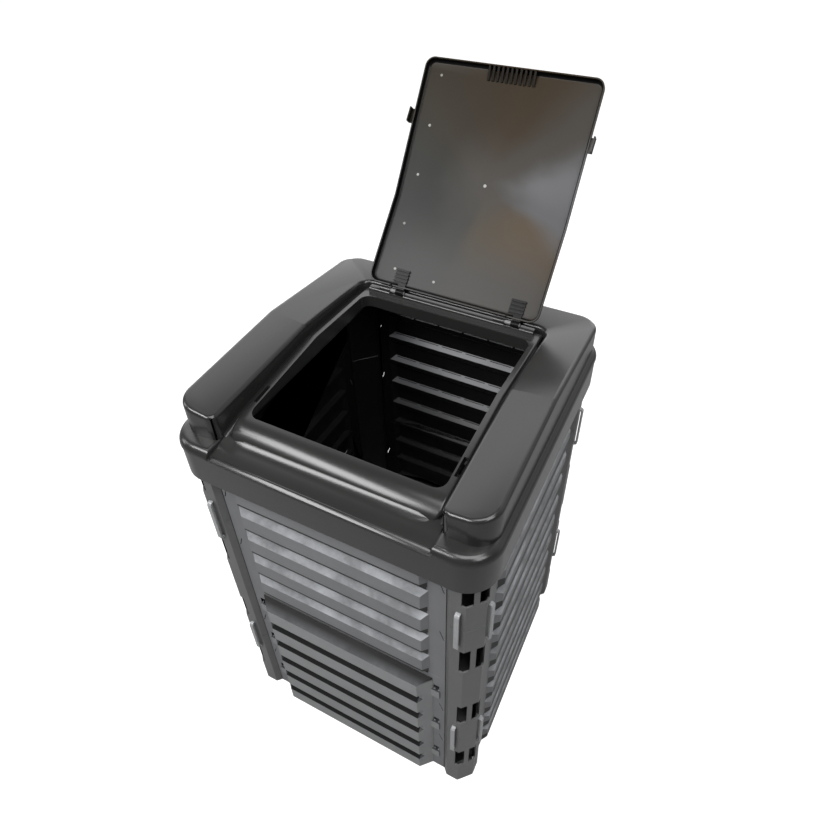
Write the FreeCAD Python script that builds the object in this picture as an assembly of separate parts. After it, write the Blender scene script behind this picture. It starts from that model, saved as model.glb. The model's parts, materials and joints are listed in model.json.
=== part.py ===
"""Garden compost bin with a hinged lid and a lift-out door, in plug-together plastic panels.

Millimetres. X runs along the front from left to right, Y to the back, Z up.
The lid is modelled open, at its stop. The bin is drawn round its own middle, and each piece is
saved moved forward, so that the origin is on the ground under the middle of the overall box.
"""
import FreeCAD, Part
import math
import os

Vector = FreeCAD.Vector

# Body: two tiers of panels between four corner posts
WALL = 3.5                # moulded wall of panels, posts and cover
POST_HALF = 290.0         # centre of the bin to the outer face of a post
POST_CHAMFER = 26.0       # leg of the big corner chamfer
POST_FACE = 27.0          # flat face each side of that chamfer
POST_STEP = 10.0          # how far a post stands proud of the panels
POST_INNER = 8.0          # depth of the post's edge that a panel butts against
TIER = 428.0              # height of one tier of panels
SEAM = 222.0              # lowest joint between post lengths
TOP_CUT = 18.0            # taken off the upper tier, under the cover
BODY_TOP = 2 * TIER - TOP_CUT  # top of posts and panels, under the cover
PANEL_PLANE = POST_HALF - POST_STEP
POST_EDGE = POST_HALF - POST_CHAMFER - POST_FACE - POST_STEP
FIT = 0.3                 # gap between pieces that only lie against each other

# Louvres, one rule for all panels
LOUVRES = 6               # louvres in one tier
LOUVRE_OUT = 11.0         # how far a louvre stands proud
LOUVRE_SHOULDER = 11.0    # drop of its sloped top
LOUVRE_FACE = 40.0        # height of its upright face
LOUVRE_RETURN = 10.0      # drop of its sloped underside
LOUVRE_FIRST = 68.0       # lowest louvre's top line above the foot of the tier
LOUVRE_MARGIN = 33.5      # plain column outside the end of a louvre
LOUVRE_HALF = POST_EDGE - LOUVRE_MARGIN  # half length along the panel's plane
VENT_GAP = 8.8            # plastic left between two air slits in a louvre's underside
VENT_WIDTH = 1.0          # a slit can't be seen through from above
VENTS = 6                 # slits in one louvre
CELL_RIB = 5.0            # upright ribs in the topmost louvre
SNAP_LENGTH = 26.0        # slit of a snap tongue in a panel's edge column
SNAP_WIDTH = 1.6
SNAP_LEAN = 18.0          # degrees
SNAP_IN = 9.0             # slit in from the panel's edge
SNAP_HEIGHTS = (158.0, 306.0)

# Slots in the posts and the clips that hold two post lengths together
SLOT_HEIGHT = 72.0
SLOT_ABOVE = 76.0         # from a seam up to the next slot
SLOT_BELOW = 67.0         # from a seam down to the next slot
SLOT_FACE = 8.0           # slot's reach on the flat face
SLOT_CORNER = 9.0         # slot's reach on the chamfer
CLIP_LENGTH = 108.0
CLIP_WIDTH = 9.0
CLIP_THICK = 4.0
CLIP_PROUD = 8.0          # outside of the clip's bar above the post's face
CLIP_BEND = 7.0           # radius of its bowed ends
CLIP_HOOK = 5.0           # hook behind the post's wall
CLIP_IN = 12.5            # clip's middle from the post's chamfer edge

# Door
DOOR_PROUD = 23.5         # door's front ahead of the panels
DOOR_MARGIN = 27.5
DOOR_HALF = POST_EDGE - DOOR_MARGIN  # half width at the back of its bevelled sides
DOOR_FOOT = 3.0
DOOR_UNDER = 15.0         # door's top below the foot of the upper tier
DOOR_TOP = TIER - DOOR_UNDER
DOOR_WALL = 3.0
SLATS = 6
SLAT_FIRST = 44.0         # top front edge of the lowest slat
SLAT_FACE = 44.0          # upright face of a slat
GROOVE_DEPTH = 9.0
GROOVE_SLOPE = 9.0        # drop of the groove's sloped floor
DOOR_SLOT_HALF = 108.0    # air slots at the back of the grooves
EAR_WIDTH = 15.0
EAR_HEIGHT = 27.0
EAR_THICK = 3.0
EAR_FIRST = 55.0
EAR_PITCH = 145.0
EARS = 3
NECK_WIDTH = 5.0
HEAD_WIDTH = 11.0
HEAD_HEIGHT = 16.0
HEAD_THICK = 3.5
DOOR_LIFT = 20.0
DOOR_LAP = 19.5           # door's overlap on the frame beside its opening
DOOR_LAP_TOP = 21.0
HATCH_HALF = DOOR_HALF - DOOR_LAP  # opening behind the door
HATCH_FOOT = 26.0
HATCH_TOP = DOOR_TOP - DOOR_LAP_TOP
HATCH_CORNER = 8.0
NECK_ROOM = 0.6           # keyholes wider than the necks and heads by this on each side
HEAD_ROOM = 1.0

# Cover
COVER_ROOM = 12.0         # cover's skirt outside the posts
COVER_HALF = POST_HALF + COVER_ROOM
COVER_CORNER = 60.0
REST_HIGH = 24.0          # ribs between the posts and the rim's top
RIM_TOP = BODY_TOP + REST_HIGH
RIM_DEEP = 17.0
RIM_FOOT = RIM_TOP - RIM_DEEP
SKIRT_DEEP = 65.0
SKIRT_FOOT = RIM_FOOT - SKIRT_DEEP
RIM_LIP = 1.5             # rim's overhang beyond the skirt
RIM_ROUND = 16.0
SKIRT_LAP = 0.5           # skirt's top inside the rim
RIM_END = 6.0             # rounding where the rim stops beside the band
SHOULDER_SIDE = 9.0       # rim left outside the pads
SHOULDER_FRONT = 30.0
SHOULDER_BACK = 14.0
PAD_WIDTH = 84.0
DECK_WIDTH = 74.0
PAD_SIDE = COVER_HALF - SHOULDER_SIDE  # pads' outer walls
PAD_FRONT = COVER_HALF - SHOULDER_FRONT
PAD_BACK = COVER_HALF - SHOULDER_BACK
PAD_CORNER = 42.0
PAD_HIGH = 78.0
PAD_RIDGE = RIM_TOP + PAD_HIGH
PAD_SINK = 13.0           # pads' roots below the rim's top
PAD_SLOPE_FRONT = 0.067   # fall of the pads' tops away from the ridge
PAD_SLOPE_BACK = 0.083
PAD_FALL = 10.0           # pads and deck fall this much towards the channel
PAD_ROUND = 8.0
PAD_TIP = 16.0            # upright corner between a pad's front and the channel
CHANNEL_HALF = PAD_SIDE - PAD_WIDTH
CHANNEL_BACK = PAD_BACK - DECK_WIDTH
CHANNEL_CORNER = 24.0
BAND_DROP = 16.0
BAND_FOOT = RIM_TOP - BAND_DROP  # foot of the sloped band in front of the mouth
CHANNEL_GAP = 9.0         # channel between the pads and the frame
CHANNEL_GAP_BACK = 6.0
COVE = 8.5                # hollow rounding at the foot of the pads' inner walls
FRAME_HALF = CHANNEL_HALF - CHANNEL_GAP  # raised frame that the lid closes on
FRAME_HIGH = 46.4
FRAME_RIDGE = RIM_TOP + FRAME_HIGH
FRAME_SLOPE_FRONT = 0.114
FRAME_SLOPE_BACK = 0.044
FRAME_BACK = CHANNEL_BACK - CHANNEL_GAP_BACK
BAND_REACH = 46.0         # band in front of the frame
FRAME_FRONT = COVER_HALF - BAND_REACH
FRAME_SINK = 1.0          # frame's root below the rim's top
FRAME_FOOT = RIM_TOP - FRAME_SINK
FRAME_NOSE = 42.0         # length of the rounded nose over the front
GUTTER_DEEP = 12.0
FRAME_CORNER = 18.0       # frame's front corners, seen from above
FRAME_ROUND = 5.0         # rounded long edges of the frame
FRAME_WIDTH = 13.0
SADDLE = 41.5             # frame in front of the mouth
MOUTH_TO_HINGE = 22.0
HINGE_IN = 8.0
HINGE_Y = FRAME_BACK - HINGE_IN
HINGE_HIGH = 4.6          # hinge axis above the frame's ridge
HINGE_Z = FRAME_RIDGE + HINGE_HIGH
MOUTH_HALF = FRAME_HALF - FRAME_WIDTH
MOUTH_FRONT = FRAME_FRONT - SADDLE
MOUTH_BACK = HINGE_Y - MOUTH_TO_HINGE
MOUTH_CORNER = 20.0
MOUTH_LIP = 14.0
BAR_SHORT = 3.0
BAR_HALF = MOUTH_HALF - BAR_SHORT  # rounded bar behind the mouth, which carries the hinges
BAR_DEPTH = 18.0
BAR_ROUND = 6.0
BAR_UNDER = 1.0           # bar's top below the hinge axis
BAR_TOP = HINGE_Z - BAR_UNDER
REST_FROM = 54.0
REST_IN = POST_HALF - REST_FROM  # ribs that stand on the posts
REST_PITCH = 22.0
REST_SHORT = 22.0
REST_REACH = POST_HALF - REST_SHORT
LATCH_LENGTH = 40.0
LATCH_WIDTH = 8.0
LATCH_Y = -163.0

# Lid and its hinges
LID_OVER = 1.0            # lid's flange outside the mouth
LID_HALF = MOUTH_HALF + LID_OVER
LID_WALL = 2.5
LID_DEEP = 15.0           # depth of the lid with its flange
LID_CORNER = 20.0
LID_ROUND = 9.0           # outer edge between the lid's sheet and its flange
LID_OVERHANG = 29.0       # lid beyond the frame's front
LID_FRONT_Y = -FRAME_FRONT - LID_OVERHANG
LID_BACK_GAP = 9.6        # lid's back edge in front of the hinge axis
LID_OPEN = 130.2          # degrees from shut to the stop
LID_SEAT = 0.6            # gap under the lid's flange when shut
TAB_LENGTH = 30.0
TAB_OUT = 9.0
TAB_DROP = 8.0
TAB_THICK = 3.0
TAB_HIGH = 3.0            # tab above the flange's foot
GRIP_RIBS = 11
GRIP_WIDTH = 96.0
GRIP_DEPTH = 26.0
GRIP_RIB = 4.5
PIN_RADIUS = 4.0
PIN_LENGTH = 55.0
PIN_IN_LEFT = 57.0        # middle of a pin in from the lid's side
PIN_IN_RIGHT = 61.0
PIN_MIDDLES = (PIN_IN_LEFT - LID_HALF, LID_HALF - PIN_IN_RIGHT)
PIN_RUN = 0.08            # running clearance round a pin
EYE_WALL = 3.0
EYE_WIDTH = 17.0
EYE_ROOM = 1.5            # free space each side of an eye
CRADLE_WALL = 3.0
PLATE_WIDTH = 30.0
PLATE_REACH = 30.0
PLATE_THICK = 2.5
PLATE_SHIFT = 12.0        # ribbed plate right of its pin's middle
PLATE_RIBS = 4
PLATE_RIB = 3.0

# Middle of the overall box behind the bin's own, because the open lid reaches back
LID_REACH = 0.60557       # open lid's reach behind its hinge, as a share of its length
OVERALL_MIDDLE = (HINGE_Y + LID_REACH * (HINGE_Y - LID_FRONT_Y) - COVER_HALF - RIM_LIP) / 2

# Worked out from the sizes above
PITCH = TIER / LOUVRES
SLAT_PITCH = PITCH
DOOR_PLANE = PANEL_PLANE + DOOR_PROUD


def box(x0, x1, y0, y1, z0, z1):
    return Part.makeBox(x1 - x0, y1 - y0, z1 - z0, Vector(x0, y0, z0))


def polygon_face(points):
    return Part.Face(Part.makePolygon(points + [points[0]]))


def along_x(profile, x0, x1):
    """Solid with a (y, z) outline, from x0 to x1."""
    face = polygon_face([Vector(x0, y, z) for y, z in profile])
    return face.extrude(Vector(x1 - x0, 0, 0))


def upright(outline, z0, z1):
    """Solid with an (x, y) outline, from z0 to z1."""
    face = polygon_face([Vector(x, y, z0) for x, y in outline])
    return face.extrude(Vector(0, 0, z1 - z0))


def rounded_plan(x0, x1, y0, y1, radius, z0, z1):
    solid = box(x0, x1, y0, y1, z0, z1)
    edges = [e for e in solid.Edges if abs(e.tangentAt(e.FirstParameter).z) > 0.99]
    return solid.makeFillet(radius, edges)


def round_where(solid, radius, wanted):
    edges = [e for e in solid.Edges if wanted(e)]
    if not edges:
        return solid
    return solid.makeFillet(radius, edges)


def quarter_turn(shape, turns):
    return shape.rotated(Vector(0, 0, 0), Vector(0, 0, 1), 90 * turns)


def mirrored_x(shape):
    return shape.mirror(Vector(0, 0, 0), Vector(1, 0, 0))


def save(name, shape):
    shape.translated(Vector(0, -OVERALL_MIDDLE, 0)).exportStep("parts/" + name + ".step")


# Panels
def bevelled_bar(profile, half, reach):
    """Bar with a (depth, z) outline on the front panel and 45 degree ends."""
    y = [-PANEL_PLANE - depth for depth, z in profile]
    bar = along_x([(a, z) for a, (depth, z) in zip(y, profile)], -half - reach, half + reach)
    lows = min(z for depth, z in profile) - 1
    tops = max(z for depth, z in profile) + 1
    outline = [(half + reach, -PANEL_PLANE + reach), (half - reach, -PANEL_PLANE - reach),
               (half + 3 * reach, -PANEL_PLANE - reach), (half + 3 * reach, -PANEL_PLANE + reach)]
    side = upright(outline, lows, tops)
    return bar.cut([side, mirrored_x(side)])


def louvre_profile(top, back, inner):
    """Outline of one louvre, or of the hollow behind it."""
    shift = WALL if inner else 0.0
    slope_in = LOUVRE_SHOULDER / LOUVRE_OUT
    slope_out = LOUVRE_RETURN / LOUVRE_OUT
    fall = LOUVRE_SHOULDER + LOUVRE_FACE
    return [(-shift - back, top + back * slope_in),
            (LOUVRE_OUT - shift, top - LOUVRE_SHOULDER),
            (LOUVRE_OUT - shift, top - fall),
            (-shift - back, top - fall - LOUVRE_RETURN - back * slope_out)]


def louvre_tops():
    return [LOUVRE_FIRST + PITCH * k for k in range(LOUVRES)]


def plain_panel():
    """Flat sheet of one panel with the flanges that butt against the posts."""
    edge = POST_EDGE - FIT / 2
    sheet = box(-edge, edge, -PANEL_PLANE, -PANEL_PLANE + WALL, FIT, TIER)
    flange = box(edge - WALL, edge, -PANEL_PLANE, -PANEL_PLANE + POST_INNER, FIT, TIER)
    return sheet.fuse([flange, mirrored_x(flange)])


def snap_slits(heights):
    """Slanted slits that free the snap tongues in the panel's edge columns."""
    slits = []
    x = POST_EDGE - SNAP_IN
    for height in heights:
        slit = box(x - SNAP_WIDTH / 2, x + SNAP_WIDTH / 2, -PANEL_PLANE - 1, -PANEL_PLANE + WALL + 1,
                   height - SNAP_LENGTH / 2, height + SNAP_LENGTH / 2)
        slit.rotate(Vector(x, 0, height), Vector(0, 1, 0), -SNAP_LEAN)
        slits += [slit, mirrored_x(slit)]
    return slits


def louvred_panel(top_ribs):
    panel = plain_panel()
    hoods = []
    hollows = []
    for top in louvre_tops():
        hoods.append(bevelled_bar(louvre_profile(top, 0.0, False), LOUVRE_HALF, LOUVRE_OUT))
        inside = bevelled_bar(louvre_profile(top, 2.0, True), LOUVRE_HALF - WALL, LOUVRE_OUT)
        hollows.append(inside)
    panel = panel.fuse(hoods).cut(hollows)
    half = LOUVRE_HALF - LOUVRE_OUT
    step = 2 * half / VENTS
    length = step - VENT_GAP
    slit = -PANEL_PLANE - LOUVRE_OUT / 2
    vents = []
    for top in louvre_tops():
        low = top - LOUVRE_SHOULDER - LOUVRE_FACE - LOUVRE_RETURN
        for i in range(VENTS):
            x = -half + step * (i + 0.5)
            vents.append(box(x - length / 2, x + length / 2, slit - VENT_WIDTH / 2, slit + VENT_WIDTH / 2,
                             low, low + LOUVRE_RETURN + WALL))
    panel = panel.cut(vents + snap_slits(SNAP_HEIGHTS))
    if top_ribs:
        top = louvre_tops()[-1]
        low = top - LOUVRE_SHOULDER - LOUVRE_FACE - LOUVRE_RETURN
        ribs = []
        for i in range(1, VENTS):
            x = -half + step * i
            ribs.append(box(x - CELL_RIB / 2, x + CELL_RIB / 2, -PANEL_PLANE - LOUVRE_OUT + WALL / 2,
                            -PANEL_PLANE + WALL, low, top - LOUVRE_SHOULDER))
        below_cover = box(-POST_HALF, POST_HALF, -POST_HALF - LOUVRE_OUT, 0, 0, BODY_TOP - TIER)
        panel = panel.fuse(ribs).common(below_cover)
    return panel.removeSplitter()


def ear_heights():
    return [EAR_FIRST + EAR_PITCH * k for k in range(EARS)]


def ear_middle():
    return DOOR_HALF + EAR_WIDTH / 2


def door_frame():
    """Lower front panel: a frame round the hatch, with keyholes for the door's hooks."""
    frame = plain_panel()
    hatch = rounded_plan(-HATCH_HALF, HATCH_HALF, HATCH_FOOT, HATCH_TOP, HATCH_CORNER, 0, 20)
    hatch.rotate(Vector(0, 0, 0), Vector(1, 0, 0), 90)
    hatch.translate(Vector(0, -PANEL_PLANE + 15, 0))
    holes = [hatch] + snap_slits(SNAP_HEIGHTS)
    x = ear_middle()
    for low in ear_heights():
        neck_low = low + EAR_HEIGHT / 2 - HEAD_HEIGHT / 2
        narrow = NECK_WIDTH / 2 + NECK_ROOM
        wide = HEAD_WIDTH / 2 + HEAD_ROOM
        slot = box(x - narrow, x + narrow, -PANEL_PLANE - 1, -PANEL_PLANE + WALL + 1,
                   neck_low - FIT, neck_low + HEAD_HEIGHT + DOOR_LIFT)
        hole = box(x - wide, x + wide, -PANEL_PLANE - 1, -PANEL_PLANE + WALL + 1,
                   neck_low + DOOR_LIFT - 0.5, neck_low + DOOR_LIFT + HEAD_HEIGHT + 2.5)
        holes += [slot, hole, mirrored_x(slot), mirrored_x(hole)]
    frame = frame.cut(holes)
    lip = WALL * 2
    sill = box(-HATCH_HALF, HATCH_HALF, -PANEL_PLANE, -PANEL_PLANE + POST_INNER + lip,
               HATCH_FOOT - WALL, HATCH_FOOT)
    head = box(-HATCH_HALF, HATCH_HALF, -PANEL_PLANE, -PANEL_PLANE + POST_INNER + lip,
               HATCH_TOP, HATCH_TOP + WALL)
    return frame.fuse([sill, head]).removeSplitter()


# Door
def door_profile():
    """Stepped (depth, z) outline of the door's slats, from the foot to the top."""
    points = [(DOOR_PROUD, DOOR_FOOT), (DOOR_PROUD, SLAT_FIRST)]
    for k in range(1, SLATS):
        top = SLAT_FIRST + SLAT_PITCH * k
        below = top - SLAT_PITCH
        points += [(DOOR_PROUD - GROOVE_DEPTH, below + GROOVE_SLOPE),
                   (DOOR_PROUD - GROOVE_DEPTH, top - SLAT_FACE),
                   (DOOR_PROUD, top - SLAT_FACE),
                   (DOOR_PROUD, top)]
    points.append((FIT, DOOR_TOP))
    return points


def door_panel():
    outer = [(FIT, DOOR_FOOT)] + door_profile()
    body = bevelled_bar(outer, DOOR_HALF, DOOR_PROUD)
    shift = [(FIT - 5, DOOR_FOOT + DOOR_WALL), (DOOR_PROUD - DOOR_WALL, DOOR_FOOT + DOOR_WALL)]
    for depth, z in door_profile()[1:-1]:
        shift.append((depth - DOOR_WALL, z - DOOR_WALL / 2 if depth == DOOR_PROUD else z))
    shift += [(FIT, DOOR_TOP - DOOR_WALL), (FIT - 5, DOOR_TOP - DOOR_WALL)]
    hollow = bevelled_bar(shift, DOOR_HALF - DOOR_WALL, DOOR_PROUD)
    front = box(-DOOR_HALF - 1, DOOR_HALF + 1, -PANEL_PLANE - FIT, -PANEL_PLANE + 30, 0, DOOR_TOP + 1)
    body = body.cut(hollow).cut(front)
    slots = []
    for k in range(1, SLATS):
        low = SLAT_FIRST + SLAT_PITCH * (k - 1) + GROOVE_SLOPE
        slots.append(box(-DOOR_SLOT_HALF, DOOR_SLOT_HALF, -DOOR_PLANE + GROOVE_DEPTH - 0.5,
                         -PANEL_PLANE, low + 1, low + SLAT_PITCH - SLAT_FACE - GROOVE_SLOPE - 1.5))
    body = body.cut(slots)
    hooks = []
    for low in ear_heights():
        hooks += door_hook(low)
    return body.fuse(hooks).removeSplitter()


def door_hook(low):
    """Ear on the door's edge with a neck and a head that hangs behind the frame."""
    x = ear_middle()
    front = -PANEL_PLANE - FIT
    ear = box(DOOR_HALF - DOOR_WALL, DOOR_HALF + EAR_WIDTH, front - EAR_THICK, front, low, low + EAR_HEIGHT)
    middle = low + EAR_HEIGHT / 2
    neck = box(x - NECK_WIDTH / 2, x + NECK_WIDTH / 2, front - 1, -PANEL_PLANE + WALL + FIT + 1,
               middle - HEAD_HEIGHT / 2, middle + HEAD_HEIGHT / 2)
    back = -PANEL_PLANE + WALL + FIT
    head = box(x - HEAD_WIDTH / 2, x + HEAD_WIDTH / 2, back, back + HEAD_THICK,
               middle - HEAD_HEIGHT / 2, middle + HEAD_HEIGHT / 2)
    hook = ear.fuse([neck, head])
    return [hook, mirrored_x(hook)]


# Corner posts, drawn at the front right and turned to the others
def post_outline(inset):
    """Faceted (x, y) outline of a post; the inset gives the hollow inside."""
    h = POST_HALF
    a = POST_CHAMFER
    b = a + POST_FACE
    c = b + POST_STEP
    k = inset * (math.sqrt(2) - 1)
    s = inset * math.sqrt(2)
    deep = POST_STEP + POST_INNER
    points = [(h - c + inset, -h + POST_STEP + s - inset), (h - b + k, -h + inset), (h - a - k, -h + inset),
              (h - inset, -h + a + k), (h - inset, -h + b - k), (h - POST_STEP - s + inset, -h + c - inset),
              (h - deep + inset - k, -h + c - inset), (h - c + inset, -h + deep - inset + k)]
    return points


def post_slots(seams):
    cuts = []
    h = POST_HALF
    edge = h - POST_CHAMFER
    for seam in seams:
        for low in (seam + SLOT_ABOVE, seam - SLOT_BELOW - SLOT_HEIGHT):
            left = box(edge - SLOT_FACE, edge + SLOT_CORNER, -h - 1, -edge + SLOT_CORNER - 1,
                       low, low + SLOT_HEIGHT)
            cuts += [left, swap_sides(left)]
    return cuts


def swap_sides(shape):
    """Mirror across the corner's diagonal."""
    return shape.mirror(Vector(0, 0, 0), Vector(1, 1, 0).normalize())


def clip_x():
    return POST_HALF - POST_CHAMFER - CLIP_IN


def clip_holes(seams):
    cuts = []
    x = clip_x()
    for seam in seams:
        for side in (-1, 1):
            middle = seam + side * (CLIP_LENGTH / 2 - CLIP_THICK / 2)
            hole = box(x - CLIP_WIDTH / 2 - FIT, x + CLIP_WIDTH / 2 + FIT, -POST_HALF - 1,
                       -POST_HALF + WALL + 1, middle - CLIP_THICK / 2 - FIT, middle + CLIP_THICK / 2 + FIT)
            cuts += [hole, swap_sides(hole)]
    return cuts


def post_length(z0, z1):
    tube = upright(post_outline(0.0), z0, z1).cut(upright(post_outline(WALL), z0 - 1, z1 + 1))
    seams = (SEAM, SEAM + TIER)
    return tube.cut(post_slots(seams) + clip_holes(seams)).removeSplitter()


def seam_clip(seam):
    """Bowed staple over the joint of two post lengths, on the post's front face."""
    x = clip_x()
    out = -POST_HALF - CLIP_PROUD
    inner = out + CLIP_THICK
    half = CLIP_LENGTH / 2
    bar = box(x - CLIP_WIDTH / 2, x + CLIP_WIDTH / 2, out, -POST_HALF + WALL + FIT + CLIP_THICK,
              seam - half, seam + half)
    bar = round_where(bar, CLIP_BEND, lambda e: abs(e.tangentAt(e.FirstParameter).x) > 0.99
                      and e.CenterOfMass.y < out + 1)
    gap = box(x - CLIP_WIDTH, x + CLIP_WIDTH, inner, -POST_HALF + 40, seam - half + CLIP_THICK,
              seam + half - CLIP_THICK)
    gap = round_where(gap, CLIP_BEND - CLIP_THICK, lambda e: abs(e.tangentAt(e.FirstParameter).x) > 0.99
                      and e.CenterOfMass.y < inner + 1)
    clip = bar.cut(gap)
    back = -POST_HALF + WALL + FIT
    for side in (-1, 1):
        end = seam + side * half
        inner_end = end - side * (CLIP_HOOK + CLIP_THICK)
        hook = box(x - CLIP_WIDTH / 2, x + CLIP_WIDTH / 2, back, back + CLIP_THICK,
                   min(end, inner_end), max(end, inner_end))
        clip = clip.fuse(hook)
    return clip.removeSplitter()


def seam_clips():
    clips = []
    for seam in (SEAM, SEAM + TIER):
        clip = seam_clip(seam)
        clips += [clip, swap_sides(clip)]
    return Part.makeCompound(clips)


# Cover
def pad_top(y):
    slope = PAD_SLOPE_FRONT if y < 0 else PAD_SLOPE_BACK
    return PAD_RIDGE - slope * abs(y)


def pad_section(x, fall, inset, foot):
    front = -PAD_FRONT + inset
    back = PAD_BACK - inset - PAD_ROUND
    line = [(front, pad_top(front)), (0, PAD_RIDGE), (back, pad_top(back))]
    points = [Vector(x, y, z - fall - inset) for y, z in line]
    points = [Vector(x, front, foot)] + points + [Vector(x, back, foot)]
    return Part.makePolygon(points + [points[0]])


def pads(inset, foot):
    """Raised pads and the deck behind the lid, as a U round the channel."""
    outer = PAD_SIDE - inset
    inner = CHANNEL_HALF + inset
    back = PAD_BACK - inset
    within = CHANNEL_HALF - PAD_CORNER
    fall = PAD_FALL * (outer - within) / (PAD_SIDE - CHANNEL_HALF)
    side = Part.makeLoft([pad_section(within, fall, inset, foot), pad_section(outer, 0.0, inset, foot)],
                         True, True)
    deck_slope = PAD_FALL / (PAD_BACK - CHANNEL_BACK) - PAD_SLOPE_BACK
    low = CHANNEL_BACK - PAD_CORNER
    deck_top = pad_top(back) - inset
    profile = [(low, foot), (low, deck_top - deck_slope * (back - low)), (back, deck_top), (back, foot)]
    deck = along_x(profile, -outer, outer)
    block = side.fuse([mirrored_x(side), deck])
    plan = rounded_plan(-outer, outer, -PAD_FRONT + inset, back, PAD_CORNER - inset, foot, PAD_RIDGE + 20)
    gap = box(-inner, inner, -PAD_FRONT - 20, CHANNEL_BACK + inset, foot - 1, PAD_RIDGE + 20)
    gap = round_where(gap, CHANNEL_CORNER + inset, lambda e: abs(e.tangentAt(e.FirstParameter).z) > 0.99
                      and e.CenterOfMass.y > 0)
    return block.common(plan).cut(gap).removeSplitter()


def rounded_pads(foot):
    block = pads(0.0, foot)
    tips = round_where(block, PAD_TIP, lambda e: abs(e.tangentAt(e.FirstParameter).z) > 0.99
                       and e.CenterOfMass.y < -PAD_FRONT + 1 and abs(e.CenterOfMass.x) < CHANNEL_HALF + 1)
    return round_where(tips, PAD_ROUND, lambda e: pad_rim(e))


def pad_rim(edge):
    """True where the top of the U meets its upright walls."""
    middle = edge.valueAt((edge.FirstParameter + edge.LastParameter) / 2)
    size = edge.BoundBox
    start = edge.tangentAt(edge.FirstParameter)
    straight = start.cross(edge.tangentAt(edge.LastParameter)).Length < 0.001
    high = middle.z > pad_top(PAD_BACK) - PAD_FALL - 2
    mitre = straight and min(size.XLength, size.YLength) > 5
    ridge = straight and abs(middle.y) < 1 and size.YLength < 1
    return abs(start.z) < 0.5 and high and not mitre and not ridge


def frame_height(y):
    slope = FRAME_SLOPE_FRONT if y < 0 else FRAME_SLOPE_BACK
    return FRAME_RIDGE - slope * abs(y)


def channel_floor():
    """Top of the channel's floor, front to back: the sloped band, then the gutter."""
    nose_y = -FRAME_FRONT + FRAME_NOSE
    far = CHANNEL_BACK + 10
    return [(-COVER_HALF - 10, BAND_FOOT - 4), (-COVER_HALF, BAND_FOOT), (-FRAME_FRONT, FRAME_FOOT),
            (nose_y, frame_height(nose_y) - GUTTER_DEEP), (0, FRAME_RIDGE - GUTTER_DEEP),
            (far, frame_height(far) - GUTTER_DEEP)]


def channel(inset):
    """Space above the channel's floor, between the pads; the inset makes the wall under it."""
    floor = [(y, z - inset) for y, z in channel_floor()]
    profile = floor + [(floor[-1][0], PAD_RIDGE + 30), (floor[0][0], PAD_RIDGE + 30)]
    space = along_x(profile, -CHANNEL_HALF - inset, CHANNEL_HALF + inset)
    plan = box(-CHANNEL_HALF - inset, CHANNEL_HALF + inset, -COVER_HALF - 20, CHANNEL_BACK + inset,
               BAND_FOOT - 20, PAD_RIDGE + 40)
    plan = round_where(plan, CHANNEL_CORNER + inset, lambda e: abs(e.tangentAt(e.FirstParameter).z) > 0.99
                       and e.CenterOfMass.y > 0)
    return space.common(plan)


def coves():
    """Hollow rounding between the channel's floor and the pads beside it."""
    strips = []
    line = channel_floor()[1:]
    for (y0, z0), (y1, z1) in zip(line, line[1:]):
        if y0 < -FRAME_FRONT:
            continue
        block = box(CHANNEL_HALF - COVE, CHANNEL_HALF + 1, y0, y0 + 1, z0 - 1, z0 + COVE)
        core = Part.makeCylinder(COVE, 3, Vector(CHANNEL_HALF - COVE, y0 - 1, z0 + COVE), Vector(0, 1, 0))
        face = [f for f in block.cut(core).Faces if abs(f.CenterOfMass.y - y0) < 0.01][0]
        strip = face.extrude(Vector(0, y1 - y0, z1 - z0))
        strips += [strip, mirrored_x(strip)]
    return strips


def frame_block(inset):
    """Raised frame round the mouth, with a rounded nose over the front."""
    front = -FRAME_FRONT + inset
    back = FRAME_BACK - inset
    nose_y = -FRAME_FRONT + FRAME_NOSE
    foot = BAND_FOOT - 4
    start = Vector(0, front, FRAME_FOOT - inset)
    end = Vector(0, nose_y, frame_height(nose_y) - inset)
    mid = Vector(0, front + (nose_y - front) * 0.35, FRAME_FOOT - inset + (end.z - start.z) * 0.6)
    ridge = Vector(0, 0, FRAME_RIDGE - inset)
    rear = Vector(0, back, frame_height(back) - inset)
    edges = [Part.LineSegment(Vector(0, front, foot), start).toShape(),
             Part.Arc(start, mid, end).toShape(),
             Part.LineSegment(end, ridge).toShape(),
             Part.LineSegment(ridge, rear).toShape(),
             Part.LineSegment(rear, Vector(0, back, foot)).toShape(),
             Part.LineSegment(Vector(0, back, foot), Vector(0, front, foot)).toShape()]
    face = Part.Face(Part.Wire(edges))
    face.translate(Vector(-FRAME_HALF + inset, 0, 0))
    block = face.extrude(Vector(2 * (FRAME_HALF - inset), 0, 0))
    plan = rounded_plan(-FRAME_HALF + inset, FRAME_HALF - inset, front, back + 2 * FRAME_CORNER,
                        FRAME_CORNER - inset, foot, FRAME_RIDGE + 1)
    block = block.common(plan)
    radius = max(FRAME_ROUND - inset, FRAME_ROUND / 2)
    return round_where(block, radius, lambda e: e.BoundBox.XLength < 0.01
                       and e.CenterOfMass.z > FRAME_FOOT - inset + 1 and e.BoundBox.YLength > 1)


def mouth(grow, z0, z1):
    return rounded_plan(-MOUTH_HALF - grow, MOUTH_HALF + grow, -MOUTH_FRONT - grow, MOUTH_BACK + grow,
                        MOUTH_CORNER + grow, z0, z1)


def rod(x, half, radius):
    return Part.makeCylinder(radius, 2 * half, Vector(x - half, HINGE_Y, HINGE_Z), Vector(1, 0, 0))


def eye_middle(pin):
    return pin + PIN_LENGTH / 2 - EYE_WIDTH / 2 - EYE_ROOM


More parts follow.
